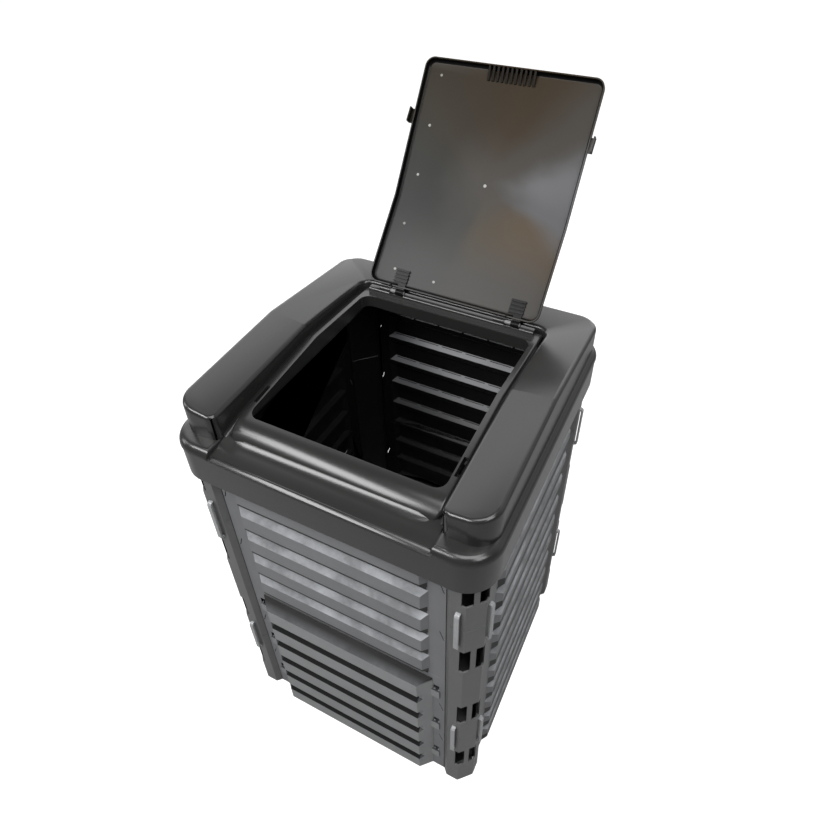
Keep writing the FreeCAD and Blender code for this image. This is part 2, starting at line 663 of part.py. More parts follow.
def hinge_bar():
    """Rounded bar behind the mouth with a cradle for each pin, and the room cut for the eyes."""
    low = frame_height(HINGE_Y) - WALL
    bar = box(-BAR_HALF, BAR_HALF, HINGE_Y - BAR_DEPTH / 2, HINGE_Y + BAR_DEPTH / 2, low, BAR_TOP)
    bar = round_where(bar, BAR_ROUND, lambda e: e.CenterOfMass.z > BAR_TOP - 0.1
                      and abs(e.tangentAt(e.FirstParameter).x) > 0.99)
    cradles = []
    cuts = []
    for pin in PIN_MIDDLES:
        left = pin - PIN_LENGTH / 2
        right = eye_middle(pin) - EYE_WIDTH / 2 - EYE_ROOM
        middle = (left + right) / 2
        cradles.append(rod(middle, (right - left) / 2, PIN_RADIUS + CRADLE_WALL))
        cuts.append(rod(pin, PIN_LENGTH / 2 + FIT, PIN_RADIUS))
        swing = PIN_RADIUS + PIN_RUN + EYE_WALL + EYE_ROOM
        cuts.append(rod(eye_middle(pin), EYE_WIDTH / 2 + EYE_ROOM, swing))
        room = pin + PLATE_SHIFT
        cuts.append(rod(room, PLATE_WIDTH / 2 + EYE_ROOM, swing))
    return bar.fuse(cradles), cuts


def cover():
    skirt = rounded_plan(-COVER_HALF, COVER_HALF, -COVER_HALF, COVER_HALF, COVER_CORNER,
                         SKIRT_FOOT, RIM_FOOT + SKIRT_LAP)
    out = COVER_HALF + RIM_LIP
    rim = rounded_plan(-out, out, -out, out, COVER_CORNER + RIM_LIP, RIM_FOOT, RIM_TOP)
    rim = round_where(rim, RIM_ROUND, lambda e: e.CenterOfMass.z > RIM_TOP - 0.01)
    outside = skirt.fuse(rim)
    body = outside.cut([channel(0.0)] + rim_ends())
    body = body.fuse([rounded_pads(RIM_TOP - PAD_SINK), frame_block(0.0)] + coves())
    inside_half = COVER_HALF - WALL
    inner = rounded_plan(-inside_half, inside_half, -inside_half, inside_half, COVER_CORNER - WALL,
                         SKIRT_FOOT - 5, RIM_TOP - WALL)
    inner = round_where(inner, RIM_ROUND - WALL, lambda e: e.CenterOfMass.z > RIM_TOP - WALL - 0.01)
    inner = inner.cut(channel(WALL))
    upper = pads(WALL, RIM_FOOT)
    under_frame = frame_block(WALL)
    body = body.cut([inner, upper, under_frame])
    ring = mouth(WALL, FRAME_FOOT + MOUTH_LIP, FRAME_RIDGE + 5).common(frame_block(0.0))
    body = body.fuse(ring).cut(mouth(0.0, RIM_FOOT - 10, FRAME_RIDGE + 10))
    bar, cuts = hinge_bar()
    latch = box(MOUTH_HALF + WALL, MOUTH_HALF + WALL + LATCH_WIDTH, LATCH_Y - LATCH_LENGTH / 2,
                LATCH_Y + LATCH_LENGTH / 2, RIM_TOP, FRAME_RIDGE + 5)
    body = body.fuse(bar).cut(cuts + [latch, mirrored_x(latch)])
    rests = [rib.common(outside) for rib in post_rests()]
    return body.fuse(rests).removeSplitter()


def rim_ends():
    """What is taken off to round the rim where it stops beside the band."""
    x = CHANNEL_HALF + RIM_END
    y = -COVER_HALF - RIM_LIP + RIM_END
    z = RIM_TOP - RIM_END
    over = box(CHANNEL_HALF - 1, x, y - RIM_END - 1, -PAD_FRONT + PAD_TIP, z, RIM_TOP + 1)
    over = over.cut(Part.makeCylinder(RIM_END, COVER_HALF, Vector(x, y - 2 * RIM_END, z), Vector(0, 1, 0)))
    ahead = box(CHANNEL_HALF - 1, x, y - RIM_END - 1, y, BAND_FOOT + RIM_LIP, RIM_TOP + 1)
    ahead = ahead.cut(Part.makeCylinder(RIM_END, COVER_HALF, Vector(x, y, BAND_FOOT)))
    return [over, ahead, mirrored_x(over), mirrored_x(ahead)]


def post_rests():
    """Ribs inside the cover's corners that stand on the posts."""
    ribs = []
    for turns in range(4):
        for low in (REST_IN, REST_IN + REST_PITCH):
            rib = box(low, low + WALL, -COVER_HALF + WALL / 2, -REST_REACH, BODY_TOP, RIM_TOP + WALL)
            ribs.append(quarter_turn(rib, turns))
    return ribs


# Lid, drawn shut and then turned open about the hinge
def lid_foot(y):
    """Foot of the shut lid's flange, just clear of the frame."""
    return frame_height(y) + LID_SEAT


def lid_block(inset):
    front = LID_FRONT_Y + inset
    back = HINGE_Y - LID_BACK_GAP - inset
    high = LID_DEEP - inset
    low = -1.0 if inset else 0.0
    profile = [(front, lid_foot(front) + low), (0, lid_foot(0) + low), (back, lid_foot(back) + low),
               (back, lid_foot(back) + high), (0, lid_foot(0) + high), (front, lid_foot(front) + high)]
    block = along_x(profile, -LID_HALF + inset, LID_HALF - inset)
    plan = rounded_plan(-LID_HALF + inset, LID_HALF - inset, front, back, LID_CORNER - inset,
                        lid_foot(front) - 10, FRAME_RIDGE + 60)
    block = block.common(plan)
    radius = LID_ROUND - inset
    return round_where(block, radius, lambda e: lid_edge(e, high))


def lid_edge(edge, high):
    """True on the outer edge of the lid's sheet."""
    ends = [v.Point for v in edge.Vertexes]
    on_top = all(abs(p.z - lid_foot(p.y) - high) < 0.5 for p in ends)
    across = all(abs(p.y) < 1 for p in ends)
    return on_top and not across


def lid():
    body = lid_block(0.0).cut(lid_block(LID_WALL))
    foot = lid_foot(LATCH_Y)
    front = LATCH_Y - TAB_LENGTH / 2
    back = LATCH_Y + TAB_LENGTH / 2
    out = LID_HALF + TAB_OUT
    tab_foot = foot + TAB_HIGH
    tab = box(LID_HALF - LID_WALL, out, front, back, tab_foot, tab_foot + TAB_THICK)
    hook = box(out - TAB_THICK, out, front, back, foot - TAB_DROP, tab_foot + TAB_THICK)
    tab = tab.fuse(hook)
    ribs = []
    step = GRIP_WIDTH / (GRIP_RIBS - 1)
    y0 = LID_FRONT_Y + LID_WALL
    y1 = y0 + GRIP_DEPTH
    for i in range(GRIP_RIBS):
        x = -GRIP_WIDTH / 2 + step * i
        profile = [(y0 - 1, lid_foot(y0 - 1) + 1), (y1, lid_foot(y1) + LID_DEEP - LID_WALL - 3),
                   (y1, lid_foot(y1) + LID_DEEP - 1), (y0 - 1, lid_foot(y0 - 1) + LID_DEEP - LID_ROUND)]
        ribs.append(along_x(profile, x - GRIP_RIB / 2, x + GRIP_RIB / 2))
    body = body.fuse([tab, mirrored_x(tab)] + ribs)
    back = HINGE_Y - LID_BACK_GAP
    windows = []
    for pin in PIN_MIDDLES:
        for middle, half in ((pin + PLATE_SHIFT, PLATE_WIDTH / 2), (eye_middle(pin), EYE_WIDTH / 2)):
            windows.append(box(middle - half - FIT, middle + half + FIT, back - LID_WALL - 1, back + 1,
                               lid_foot(back) - 1, lid_foot(back) + LID_DEEP - LID_ROUND))
        windows.append(rod(pin, PIN_LENGTH / 2 + 1, PIN_RADIUS + CRADLE_WALL + 1))
    return opened(body.cut(windows + [shut_clip(pin) for pin in PIN_MIDDLES]).removeSplitter())


def opened(shape):
    return shape.rotated(Vector(0, HINGE_Y, HINGE_Z), Vector(1, 0, 0), -LID_OPEN)


def shut_clip(pin):
    """Hinge clip: an eye round the pin and a ribbed plate under the lid's sheet."""
    eye_x = eye_middle(pin)
    eye = rod(eye_x, EYE_WIDTH / 2, PIN_RADIUS + PIN_RUN + EYE_WALL)
    bore = rod(eye_x, EYE_WIDTH / 2, PIN_RADIUS + PIN_RUN)
    back = HINGE_Y - LID_BACK_GAP - LID_ROUND
    front = back - PLATE_REACH
    low = LID_DEEP - LID_WALL - PLATE_THICK
    top_back = lid_foot(back) + low
    top_front = lid_foot(front) + low
    plate_x = pin + PLATE_SHIFT
    plate = along_x([(front, top_front), (back, top_back), (back, top_back + PLATE_THICK),
                     (front, top_front + PLATE_THICK)], plate_x - PLATE_WIDTH / 2, plate_x + PLATE_WIDTH / 2)
    arm = along_x([(back - PLATE_THICK, top_back), (HINGE_Y, HINGE_Z - EYE_WALL),
                   (HINGE_Y, HINGE_Z + EYE_WALL), (back - PLATE_THICK, top_back + PLATE_THICK)],
                  eye_x - EYE_WIDTH / 2, eye_x + EYE_WIDTH / 2)
    ribs = []
    step = PLATE_REACH / PLATE_RIBS
    for i in range(PLATE_RIBS):
        y = front + step * (i + 0.4)
        z = lid_foot(y) + low
        ribs.append(box(plate_x - PLATE_WIDTH / 2, plate_x + PLATE_WIDTH / 2, y - PLATE_RIB / 2,
                        y + PLATE_RIB / 2, z - PLATE_RIB, z + 1))
    return plate.fuse([arm, eye] + ribs).cut(bore).removeSplitter()


def hinge_pin(pin):
    return rod(pin, PIN_LENGTH / 2, PIN_RADIUS)


os.makedirs("parts", exist_ok=True)

SIDES = ("front", "right", "back", "left")
CORNERS = ("front_right", "back_right", "back_left", "front_left")

upper = louvred_panel(True)
lower = louvred_panel(False)
for turns, side in enumerate(SIDES):
    raised = upper.translated(Vector(0, 0, TIER))
    save(side + "_upper_panel", quarter_turn(raised, turns))
    if side != "front":
        save(side + "_lower_panel", quarter_turn(lower, turns))
save("front_door_frame", door_frame())
save("door", door_panel())

lengths = {"foot": (0.0, SEAM), "middle": (SEAM + FIT, SEAM + TIER), "top": (SEAM + TIER + FIT, BODY_TOP)}
clips = seam_clips()
for turns, corner in enumerate(CORNERS):
    for level, (z0, z1) in lengths.items():
        save("post_" + corner + "_" + level, quarter_turn(post_length(z0, z1), turns))
    save("post_clips_" + corner, quarter_turn(clips, turns))

save("cover", cover())
save("lid", lid())
for side, pin in zip(("left", "right"), PIN_MIDDLES):
    save("lid_hinge_clip_" + side, opened(shut_clip(pin)))
    save("hinge_pin_" + side, hinge_pin(pin))
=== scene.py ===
import json
import math

import bmesh
import bpy
from mathutils import Matrix, Vector

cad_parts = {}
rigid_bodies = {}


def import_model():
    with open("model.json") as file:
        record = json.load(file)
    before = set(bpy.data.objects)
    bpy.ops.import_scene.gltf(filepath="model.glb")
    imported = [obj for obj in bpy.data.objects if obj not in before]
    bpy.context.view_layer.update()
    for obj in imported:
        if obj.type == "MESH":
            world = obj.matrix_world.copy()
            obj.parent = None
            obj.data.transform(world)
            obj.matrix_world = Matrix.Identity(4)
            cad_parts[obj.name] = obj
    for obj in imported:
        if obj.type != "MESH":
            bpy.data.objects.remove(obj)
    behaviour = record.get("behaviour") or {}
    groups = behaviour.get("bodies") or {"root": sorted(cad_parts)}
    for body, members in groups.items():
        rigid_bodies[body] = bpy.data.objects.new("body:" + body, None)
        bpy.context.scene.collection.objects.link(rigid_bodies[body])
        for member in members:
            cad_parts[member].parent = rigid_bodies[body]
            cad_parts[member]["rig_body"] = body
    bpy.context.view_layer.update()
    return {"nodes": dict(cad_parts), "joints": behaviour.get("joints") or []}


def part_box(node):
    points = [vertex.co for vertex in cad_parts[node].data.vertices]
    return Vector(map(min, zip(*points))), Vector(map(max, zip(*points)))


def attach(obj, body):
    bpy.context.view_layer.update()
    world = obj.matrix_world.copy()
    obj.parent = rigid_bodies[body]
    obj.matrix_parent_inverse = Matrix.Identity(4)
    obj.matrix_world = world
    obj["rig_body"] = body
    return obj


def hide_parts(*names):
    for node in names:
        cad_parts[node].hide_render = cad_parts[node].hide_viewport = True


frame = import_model()
nodes = frame["nodes"]

# The view: a camera held above the front right corner and pointed down into the open bin. The bin's
# own middle is in front of the origin, because the box that the origin halves takes in the open lid.
BIN_MIDDLE_Y = -0.0951
AZIMUTH = math.radians(26.097)
ELEVATION = math.radians(38.974)
FRAME_PIXELS = 828
FOCAL_PIXELS = 646.94
EYE = Vector((0.46098, -0.79072 + BIN_MIDDLE_Y, 1.66210))

camera_data = bpy.data.cameras.new("camera")
camera_data.sensor_width = 36
camera_data.lens = camera_data.sensor_width * FOCAL_PIXELS / FRAME_PIXELS
camera_data.shift_x = -0.02902
camera_data.shift_y = -0.06829
camera = bpy.data.objects.new("camera", camera_data)
bpy.context.scene.collection.objects.link(camera)
bpy.context.scene.camera = camera
back = Vector((math.sin(AZIMUTH) * math.cos(ELEVATION), -math.cos(AZIMUTH) * math.cos(ELEVATION),
               math.sin(ELEVATION)))
right = Vector((math.cos(AZIMUTH), math.sin(AZIMUTH), 0))
up = back.cross(right)
turn = Matrix((right, up, back)).transposed()
camera.matrix_world = Matrix.Translation(EYE) @ turn.to_4x4()


# The studio: a white backdrop behind the bin, which the flat tops reflect, a dark ceiling, a soft box
# overhead, a long one high in front for the lines of light on the cover, and one at each side.
def linear(code):
    """A hex colour as linear light, with an alpha of 1."""
    parts = [int(code[i:i + 2], 16) / 255 for i in (1, 3, 5)]
    return [p / 12.92 if p <= 0.04045 else ((p + 0.055) / 1.055) ** 2.4 for p in parts] + [1.0]


def add(tree, kind, inputs=None, **settings):
    """Adds a node with its settings. Each input is the output of another node, or a value."""
    made = tree.nodes.new(kind)
    for name, value in settings.items():
        setattr(made, name, value)
    for socket, source in (inputs or {}).items():
        if isinstance(source, bpy.types.NodeSocket):
            tree.links.new(source, made.inputs[socket])
        else:
            made.inputs[socket].default_value = source
    return made


bpy.context.scene.view_settings.view_transform = "Standard"
world = bpy.data.worlds.new("studio_room")
bpy.context.scene.world = world
world.use_nodes = True
room = world.node_tree
room.nodes.clear()
where = add(room, "ShaderNodeTexCoord")
way = add(room, "ShaderNodeSeparateXYZ", {"Vector": where.outputs["Generated"]})
backdrop = add(room, "ShaderNodeMapRange",
               {"Value": way.outputs["Y"], "From Min": 0.0, "From Max": 0.45, "To Min": 0.06, "To Max": 1.0},
               interpolation_type="SMOOTHSTEP")
below_ceiling = add(room, "ShaderNodeMapRange",
                    {"Value": way.outputs["Z"], "From Min": 0.76, "From Max": 0.93, "To Min": 1.0,
                     "To Max": 0.12}, interpolation_type="SMOOTHSTEP")
level = add(room, "ShaderNodeMath", {0: backdrop.outputs[0], 1: below_ceiling.outputs[0]},
            operation="MULTIPLY")
brighter_left = add(room, "ShaderNodeMapRange",
                    {"Value": way.outputs["X"], "From Min": 0.1, "From Max": 0.5, "To Min": 2.05,
                     "To Max": 0.6}, interpolation_type="SMOOTHSTEP")
strength = add(room, "ShaderNodeMath", {0: level.outputs[0], 1: brighter_left.outputs[0]},
               operation="MULTIPLY")
seen = add(room, "ShaderNodeLightPath")
lit = add(room, "ShaderNodeBackground", {"Color": (1.0, 1.0, 1.02, 1), "Strength": strength.outputs[0]})
white = add(room, "ShaderNodeBackground", {"Color": (1, 1, 1, 1), "Strength": 1.0})
sight = add(room, "ShaderNodeMixShader",
            {0: seen.outputs["Is Camera Ray"], 1: lit.outputs[0], 2: white.outputs[0]})
add(room, "ShaderNodeOutputWorld", {"Surface": sight.outputs[0]})


def soft_box(name, place, target, width, height, watts):
    """A rectangular lamp that faces a target point."""
    lamp = bpy.data.lights.new(name, "AREA")
    lamp.shape = "RECTANGLE"
    lamp.size = width
    lamp.size_y = height
    lamp.energy = watts
    holder = bpy.data.objects.new(name, lamp)
    bpy.context.scene.collection.objects.link(holder)
    holder.location = place
    holder.rotation_euler = (Vector(target) - Vector(place)).to_track_quat("-Z", "Y").to_euler()


soft_box("high_box", (0.6, -0.9, 3.4), (0, -0.1, 0.6), 1.9, 1.3, 50)
soft_box("strip_box", (-1.25, -2.0, 2.95), (0, -0.2, 0.8), 2.0, 0.9, 82)
soft_box("left_box", (-3.0, -1.2, 2.0), (0, 0, 0.6), 0.6, 1.8, 14)
soft_box("right_box", (2.0, -1.3, 2.9), (0.2, -0.3, 0.8), 1.2, 1.2, 30)

# Floor: matt white paper. The camera sees it glow white, and reflections see a little of that. Under
# the bin, and in the light that it throws back, it is dull grey, which keeps the bin's inside dark;
# under the bin that dull grey is painted shade.
FLOOR_HALF = 30.0
BIN_HALF = 0.277
MIRRORED_SHARE = 0.12
PAPER_GLOW = 0.82
floor_mesh = bpy.data.meshes.new("floor")
floor_mesh.from_pydata([(-FLOOR_HALF, -FLOOR_HALF, 0), (FLOOR_HALF, -FLOOR_HALF, 0),
                        (FLOOR_HALF, FLOOR_HALF, 0), (-FLOOR_HALF, FLOOR_HALF, 0)], [], [(0, 1, 2, 3)])
floor = bpy.data.objects.new("floor", floor_mesh)
bpy.context.scene.collection.objects.link(floor)
paper = bpy.data.materials.new("matt_white_paper")
paper.use_nodes = True
tree = paper.node_tree
tree.nodes.clear()
seen = add(tree, "ShaderNodeLightPath")
place = add(tree, "ShaderNodeTexCoord")
from_middle = add(tree, "ShaderNodeVectorMath", {0: place.outputs["Object"], 1: (0, BIN_MIDDLE_Y, 0)},
                  operation="SUBTRACT")
reach = add(tree, "ShaderNodeVectorMath", {0: from_middle.outputs[0]}, operation="ABSOLUTE")
sides = add(tree, "ShaderNodeSeparateXYZ", {"Vector": reach.outputs[0]})
widest = add(tree, "ShaderNodeMath", {0: sides.outputs["X"], 1: sides.outputs["Y"]}, operation="MAXIMUM")
outside = add(tree, "ShaderNodeMath", {0: widest.outputs[0], 1: BIN_HALF}, operation="GREATER_THAN")
seen_or_mirrored = add(tree, "ShaderNodeMath",
                       {0: seen.outputs["Is Glossy Ray"], 1: MIRRORED_SHARE,
                        2: seen.outputs["Is Camera Ray"]}, operation="MULTIPLY_ADD", use_clamp=True)
shows = add(tree, "ShaderNodeMath", {0: seen_or_mirrored.outputs[0], 1: outside.outputs[0]},
            operation="MULTIPLY")
dull = add(tree, "ShaderNodeBsdfDiffuse", {"Color": (0.25, 0.25, 0.25, 1)})
matt = add(tree, "ShaderNodeBsdfDiffuse", {"Color": (0.4, 0.4, 0.4, 1)})
glow = add(tree, "ShaderNodeEmission", {"Color": (1, 1, 1, 1), "Strength": PAPER_GLOW})
total = add(tree, "ShaderNodeAddShader", {0: matt.outputs[0], 1: glow.outputs[0]})
sight = add(tree, "ShaderNodeMixShader", {0: shows.outputs[0], 1: dull.outputs[0], 2: total.outputs[0]})
add(tree, "ShaderNodeOutputMaterial", {"Surface": sight.outputs[0]})
floor_mesh.materials.append(paper)


# Cover: one injection moulding of black polypropylene, polished in the mould, so that it is satin on
# its flats and shines along its rounded edges. It sits over the posts and carries the hinge bar.
SMOOTH_ANGLE = math.radians(34)
FLAT_ANGLE = math.radians(0.3)
MERGE_DISTANCE = 2e-6
COVER_EDGE = 0.0012


def moulded(name, edge_radius):
    """A merged copy of a CAD node, shaded smooth over its fillets, with its sharp edges just rounded."""
    source = nodes[name]
    shape = bmesh.new()
    shape.from_mesh(source.data)
    bmesh.ops.remove_doubles(shape, verts=shape.verts, dist=MERGE_DISTANCE)
    if edge_radius:
        bmesh.ops.dissolve_limit(shape, angle_limit=FLAT_ANGLE, verts=shape.verts, edges=shape.edges)
    for face in shape.faces:
        face.smooth = True
    for edge in shape.edges:
        edge.smooth = edge.is_manifold and edge.calc_face_angle(math.pi) < SMOOTH_ANGLE
    mesh = bpy.data.meshes.new(name + "_moulding")
    shape.to_mesh(mesh)
    shape.free()
    piece = bpy.data.objects.new(name + "_moulding", mesh)
    bpy.context.scene.collection.objects.link(piece)
    if edge_radius:
        rounding = piece.modifiers.new("edge_rounding", "BEVEL")
        rounding.width = edge_radius
        rounding.segments = 2
        rounding.limit_method = "ANGLE"
        rounding.angle_limit = SMOOTH_ANGLE
        rounding.harden_normals = True
        rounding.use_clamp_overlap = True
    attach(piece, source["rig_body"])
    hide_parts(name)
    return piece


def finish_as(piece, material):
    """Gives a piece its material, in the mesh's one material slot."""
    piece.data.materials.clear()
    piece.data.materials.append(material)


def plastic(name, base, second, spot_mm, roughness, spread, grain_mm, grain_depth_mm, specular=0.5):
    """Moulded plastic: two close shades in soft spots of a real size, and a fine raised grain."""
    material = bpy.data.materials.new(name)
    material.use_nodes = True
    tree = material.node_tree
    tree.nodes.clear()
    place = add(tree, "ShaderNodeTexCoord")
    spots = add(tree, "ShaderNodeTexNoise",
                {"Vector": place.outputs["Object"], "Scale": 1000 / spot_mm, "Detail": 4.0, "Roughness": 0.6})
    shade = add(tree, "ShaderNodeMix", {"Factor": spots.outputs[0], 6: linear(base), 7: linear(second)},
                data_type="RGBA")
    rough = add(tree, "ShaderNodeMapRange",
                {"Value": spots.outputs[0], "To Min": roughness - spread, "To Max": roughness + spread})
    grain = add(tree, "ShaderNodeTexNoise",
                {"Vector": place.outputs["Object"], "Scale": 1000 / grain_mm, "Detail": 2.0})
    raised = add(tree, "ShaderNodeBump",
                 {"Height": grain.outputs[0], "Strength": 0.6, "Distance": grain_depth_mm / 1000})
    surface = add(tree, "ShaderNodeBsdfPrincipled",
                  {"Base Color": shade.outputs[2], "Roughness": rough.outputs[0],
                   "Normal": raised.outputs[0], "IOR": 1.49, "Specular IOR Level": specular})
    add(tree, "ShaderNodeOutputMaterial", {"Surface": surface.outputs[0]})
    return material


# Polished polypropylene: black, with broad soft reflections and hardly any grain.
polished_polypropylene = plastic("polished_polypropylene", "#212121", "#282827", spot_mm=160,
                                 roughness=0.215, spread=0.03, grain_mm=1.6, grain_depth_mm=0.01)
cover = moulded("cover", COVER_EDGE)
finish_as(cover, polished_polypropylene)


# Front channel of the cover: a low bead along its outer edge, and a hollow rounding at the foot of the
# frame's roll. Both come out of the mould with the cover, and both carry a line of light.
STRIP_END = ((0.0, 0.02), (0.3, 0.6), (1.0, 1.0))    # share of the fade from the end, and the size there
STRIP_SMOOTH_ANGLE = SMOOTH_ANGLE * 1.3


def front_strip(name, half_length, fade, profile, heart):
    """A strip along the cover's front. Its profile of (y, z) shrinks into the heart point at both ends."""
    shape = bmesh.new()
    stations = [(-half_length + share * fade, scale) for share, scale in STRIP_END]
    stations += [(half_length - share * fade, scale) for share, scale in reversed(STRIP_END)]
    rings = []
    for x, scale in stations:
        rings.append([shape.verts.new((x, BIN_MIDDLE_Y + heart[0] + (y - heart[0]) * scale,
                                       heart[1] + (z - heart[1]) * scale)) for y, z in profile])
    for one, other in zip(rings, rings[1:]):
        for i in range(len(profile)):
            j = (i + 1) % len(profile)
            shape.faces.new((one[i], one[j], other[j], other[i]))
    shape.faces.new(rings[0])
    shape.faces.new(rings[-1][::-1])
    bmesh.ops.recalc_face_normals(shape, faces=shape.faces)
    for face in shape.faces:
        face.smooth = True
    for edge in shape.edges:
        edge.smooth = edge.calc_face_angle(math.pi) < STRIP_SMOOTH_ANGLE
    mesh = bpy.data.meshes.new(name)
    shape.to_mesh(mesh)
    shape.free()
    strip = bpy.data.objects.new(name, mesh)
    bpy.context.scene.collection.objects.link(strip)
    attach(strip, nodes["cover"]["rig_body"])
    finish_as(strip, polished_polypropylene)


BEAD_HALF_LENGTH = 0.2105
BEAD_FADE = 0.006
BEAD_HEART = (-0.2990, 0.8450)
bead = [(-0.3035, 0.8420), (-0.3035, 0.8438), (-0.3030, 0.8449), (-0.3018, 0.8459), (-0.3004, 0.8470),
        (-0.2988, 0.8481), (-0.2970, 0.8492), (-0.2952, 0.8500), (-0.2936, 0.8502), (-0.2922, 0.8490),
        (-0.2970, 0.8440)]
front_strip("cover_front_bead", BEAD_HALF_LENGTH, BEAD_FADE, bead, BEAD_HEART)

HOLLOW_HALF_LENGTH = 0.184
HOLLOW_FADE = 0.02
HOLLOW_STEPS = 8
HOLLOW_FOOT = (-0.2655, 0.8579)
HOLLOW_CORNER = (-0.2560, 0.8610)
HOLLOW_TOP = (-0.2508, 0.8670)
HOLLOW_BACK = [(-0.2505, 0.8655), (-0.2550, 0.8595)]      # closes the profile behind the curve
hollow = []
for i in range(HOLLOW_STEPS + 1):
    t = i / HOLLOW_STEPS
    hollow.append(tuple((1 - t) ** 2 * a + 2 * t * (1 - t) * b + t * t * c
                        for a, b, c in zip(HOLLOW_FOOT, HOLLOW_CORNER, HOLLOW_TOP)))
front_strip("cover_roll_foot", HOLLOW_HALF_LENGTH, HOLLOW_FADE, hollow + HOLLOW_BACK, HOLLOW_CORNER)


# Lid: a thin black polypropylene sheet with a turned-down edge, injected through one gate in the
# middle of its inside, from which faint flow marks run out. It is seen here from inside, hanging open.
lid = moulded("lid", 0)
hinge = [j for j in frame["joints"] if j["name"] == "lid_hinge"][0]
HINGE_Y = hinge["pos_m"][1]
HINGE_Z = hinge["pos_m"][2]
OPEN_ANGLE = math.radians(130.2)
lid_out = Vector((0, -math.cos(OPEN_ANGLE), math.sin(OPEN_ANGLE)))       # from the hinge to the grip
lid_inner = Vector((0, -math.sin(OPEN_ANGLE), -math.cos(OPEN_ANGLE)))    # out of its inner face

# Flow-marked polypropylene: brown and blue-grey streams round the gate, where the melt cooled at
# different speeds. They are faint next to the gate, and fade into plain dark grey near the hinge.
GATE_OUT = 0.2546
FLOW_WAVER = 0.07             # how far the streams wander
FLOW_START = 0.13             # how far from the gate they have their full colour
HINGE_FADE = (0.07, 0.20)     # how far from the gate towards the hinge they fade
# The paler blue-grey stops, to the right of the gate, are partly flow marks and partly painted reflection.
FLOW_SHADES = ((0.0, "#1a1c18"), (0.14, "#282219"), (0.29, "#30271b"), (0.40, "#3a3733"), (0.47, "#59595b"),
               (0.545, "#505052"), (0.60, "#463b2d"), (0.72, "#3c3427"), (0.80, "#272724"), (0.93, "#171917"),
               (1.0, "#1a1c18"))                     # by the turn round the gate, with 0.5 along X
flow_marked_polypropylene = bpy.data.materials.new("flow_marked_polypropylene")
flow_marked_polypropylene.use_nodes = True
tree = flow_marked_polypropylene.node_tree
tree.nodes.clear()
place = add(tree, "ShaderNodeTexCoord")
gate = Vector((0, HINGE_Y, HINGE_Z)) + lid_out * GATE_OUT
# Turned so that X runs across the lid and Y from the gate towards the hinge.
to_gate = add(tree, "ShaderNodeMapping",
              {"Vector": place.outputs["Object"], "Rotation": (OPEN_ANGLE, 0, 0),
               "Location": -(Matrix.Rotation(OPEN_ANGLE, 3, "X") @ gate)}, vector_type="POINT")
waver = add(tree, "ShaderNodeTexNoise",
            {"Vector": to_gate.outputs[0], "Scale": 7.0, "Detail": 3.0, "Roughness": 0.5})
push = add(tree, "ShaderNodeVectorMath",
           {0: waver.outputs["Color"], 1: (FLOW_WAVER, FLOW_WAVER, 0),
            2: (-FLOW_WAVER / 2, -FLOW_WAVER / 2, 0)}, operation="MULTIPLY_ADD")
bent = add(tree, "ShaderNodeVectorMath", {0: to_gate.outputs[0], 1: push.outputs[0]}, operation="ADD")
angle = add(tree, "ShaderNodeTexGradient", {"Vector": bent.outputs[0]}, gradient_type="RADIAL")
flow = add(tree, "ShaderNodeValToRGB", {"Fac": angle.outputs["Fac"]})
flow.color_ramp.interpolation = "EASE"
stops = flow.color_ramp.elements
for position, code in FLOW_SHADES:
    if position in (0.0, 1.0):
        stops[0 if position == 0.0 else -1].color = linear(code)
    else:
        stops.new(position).color = linear(code)
along = add(tree, "ShaderNodeSeparateXYZ", {"Vector": bent.outputs[0]})
away = add(tree, "ShaderNodeVectorMath", {0: bent.outputs[0]}, operation="LENGTH")
spread_out = add(tree, "ShaderNodeMapRange",
                 {"Value": away.outputs["Value"], "From Min": 0.0, "From Max": FLOW_START},
                 interpolation_type="SMOOTHSTEP")
streams = add(tree, "ShaderNodeMix",
              {"Factor": spread_out.outputs[0], 6: linear("#393632"), 7: flow.outputs["Color"]},
              data_type="RGBA")
near_hinge = add(tree, "ShaderNodeMapRange",
                 {"Value": along.outputs["Y"], "From Min": HINGE_FADE[0], "From Max": HINGE_FADE[1],
                  "To Min": 0.0, "To Max": 0.75}, interpolation_type="SMOOTHSTEP")
shade = add(tree, "ShaderNodeMix",
            {"Factor": near_hinge.outputs[0], 6: streams.outputs[2], 7: linear("#343434")},
            data_type="RGBA")
facing = add(tree, "ShaderNodeVectorMath", {0: place.outputs["Normal"], 1: lid_inner},
             operation="DOT_PRODUCT")
sheet = add(tree, "ShaderNodeMapRange", {"Value": facing.outputs["Value"], "From Min": 0.9, "From Max": 0.97})
colour = add(tree, "ShaderNodeMix", {"Factor": sheet.outputs[0], 6: linear("#0d0d0d"), 7: shade.outputs[2]},
             data_type="RGBA")
surface = add(tree, "ShaderNodeBsdfPrincipled",
              {"Base Color": colour.outputs[2], "Roughness": 0.28, "IOR": 1.49, "Specular IOR Level": 0.10})
add(tree, "ShaderNodeOutputMaterial", {"Surface": surface.outputs[0]})
finish_as(lid, flow_marked_polypropylene)


